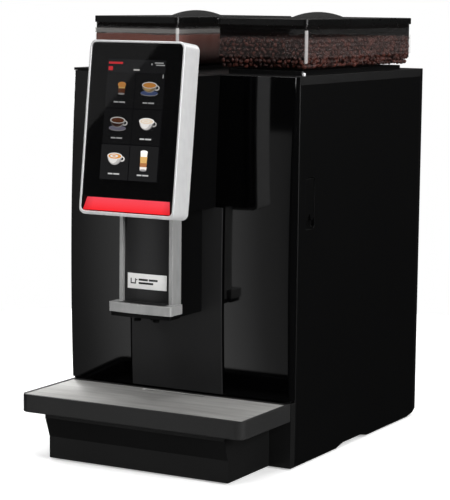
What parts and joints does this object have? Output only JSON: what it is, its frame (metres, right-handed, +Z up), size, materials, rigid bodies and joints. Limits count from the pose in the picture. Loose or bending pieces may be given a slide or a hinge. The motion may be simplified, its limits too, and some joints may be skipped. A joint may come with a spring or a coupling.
{
  "type": "coffee vending machine",
  "caption": "Table-top bean-to-cup coffee machine: glossy hinged front door, tilted touch head, sliding spout, drip tray and clear ingredient hoppers.",
  "frame": {"origin": "on the floor, in the middle of the footprint of the whole machine, from the head's front edge to the back", "axes": "+X to the right in a front view, -Y out of the front, +Z up"},
  "size_m": [0.337, 0.5583, 0.5954],
  "materials": {
    "black_shell": "fine satin moulding",
    "gloss_black": "polished piano black",
    "silver": "fine bead-blasted and anodised",
    "spout_face": "dark satin, slightly bowed",
    "label": "brushed plate with a plain cup mark",
    "nozzle_black": "soft matte",
    "grille_steel": "long brushed grain",
    "face_glass": "tinted glass over the display",
    "display": "lit display",
    "light_red": "glowing red diffuser",
    "smoked_clear": "clear smoked moulding",
    "beans": "roasted beans, slightly oily",
    "powder": "fine cocoa-coloured powder",
    "rubber": "moulded feet",
    "plated_steel": "zinc-plated sheet",
    "rear_paint": "fine textured powder coat",
    "inner_plastic": "moulded mechanism parts",
    "motor_metal": "motor can",
    "grinder_metal": "machined casting",
    "boiler_metal": "drawn and polished",
    "brass": "turned fitting",
    "board_green": "circuit board"
  },
  "bodies": {
    "cabinet": {"rubber_feet": "rubber", "base_pan": "plated_steel", "chassis_frame": "plated_steel", "left_side_panel": "black_shell", "right_side_panel": "black_shell", "rear_panel": "rear_paint", "rear_screws": "plated_steel", "top_deck": "black_shell", "tray_base": "black_shell", "hinge_brackets": "black_shell", "hinge_pins": "plated_steel", "latch_pin": "plated_steel", "hopper_plinths": "black_shell", "hopper_left": "smoked_clear", "hopper_right": "smoked_clear", "powder_fill": "powder", "bean_fill": "beans", "equipment_shelf": "plated_steel", "grounds_bin": "inner_plastic", "brew_unit_frame": "inner_plastic", "brew_chamber": "inner_plastic", "grinder_motor": "motor_metal", "grinder_body": "grinder_metal", "bean_throat": "inner_plastic", "powder_dispenser": "inner_plastic", "auger_motor": "motor_metal", "mixer_stand": "plated_steel", "mixing_bowl": "inner_plastic", "mixer_motor": "motor_metal", "boiler": "boiler_metal", "water_pump": "motor_metal", "control_board": "board_green", "fan_housing": "inner_plastic", "mains_inlet": "inner_plastic", "water_inlet": "brass"},
    "front_door": {"front_door": "gloss_black", "door_centre_panel": "black_shell", "neck_housing": "black_shell", "head_rear_cover": "black_shell", "head_frame": "silver", "head_core": "gloss_black", "screen_glass": "face_glass", "display_panel": "display", "light_bar": "light_red"},
    "spout": {"spout_body": "black_shell", "spout_frame": "silver", "spout_front_panel": "spout_face", "label_plate": "label", "dispense_nozzles": "nozzle_black"},
    "drip_tray": {"drip_tray": "black_shell"},
    "drip_grille": {"drip_grille": "grille_steel"},
    "lid_left": {"hopper_lid_left": "gloss_black"},
    "lid_right": {"hopper_lid_right": "gloss_black"},
    "latch": {"latch_lever": "black_shell"},
    "rocker": {"power_rocker": "inner_plastic"},
    "piston": {"brew_piston": "inner_plastic"},
    "burr": {"grinding_burr": "grinder_metal"},
    "auger": {"powder_auger": "inner_plastic"},
    "whipper": {"whipper": "inner_plastic"},
    "fan": {"fan_rotor": "inner_plastic"}
  },
  "joints": [
    {"name": "front_door_hinge", "type": "hinge", "parent": "cabinet", "child": "front_door", "pos_m": [-0.1625, -0.1356, 0.3], "axis": [0, 0, -1], "range_deg": [0, 100]},
    {"name": "spout_slide", "type": "slide", "parent": "front_door", "child": "spout", "axis": [0, 0, -1], "range_m": [0, 0.06]},
    {"name": "drip_tray_slide", "type": "slide", "parent": "cabinet", "child": "drip_tray", "axis": [0, -1, 0], "range_m": [0, 0.12]},
    {"name": "drip_grille_lift", "type": "slide", "parent": "drip_tray", "child": "drip_grille", "axis": [0, 0, 1], "range_m": [0, 0.04]},
    {"name": "lid_left_lift", "type": "slide", "parent": "cabinet", "child": "lid_left", "axis": [0, 0, 1], "range_m": [0, 0.06]},
    {"name": "lid_right_lift", "type": "slide", "parent": "cabinet", "child": "lid_right", "axis": [0, 0, 1], "range_m": [0, 0.06]},
    {"name": "door_latch", "type": "hinge", "parent": "cabinet", "child": "latch", "pos_m": [0.1664, -0.09295, 0.3788], "axis": [0, -1, 0], "range_deg": [0, 25], "stiffness_Nm_per_rad": 0.02},
    {"name": "power_switch", "type": "hinge", "parent": "cabinet", "child": "rocker", "pos_m": [-0.05, 0.2727, 0.06], "axis": [1, 0, 0], "range_deg": [-8, 8]},
    {"name": "brew_piston_slide", "type": "slide", "parent": "cabinet", "child": "piston", "axis": [0, 0, -1], "range_m": [0, 0.055]},
    {"name": "grinder_spin", "type": "hinge", "parent": "cabinet", "child": "burr", "pos_m": [0.0967, 0.0594, 0.35], "axis": [0, 0, 1], "continuous": true},
    {"name": "auger_spin", "type": "hinge", "parent": "cabinet", "child": "auger", "pos_m": [-0.0967, 0.0594, 0.488], "axis": [0, 1, 0], "continuous": true},
    {"name": "whipper_spin", "type": "hinge", "parent": "cabinet", "child": "whipper", "pos_m": [-0.0967, -0.092, 0.355], "axis": [0, 0, 1], "continuous": true},
    {"name": "fan_spin", "type": "hinge", "parent": "cabinet", "child": "fan", "pos_m": [0, 0.26, 0.4], "axis": [0, 1, 0], "continuous": true}
  ]
}
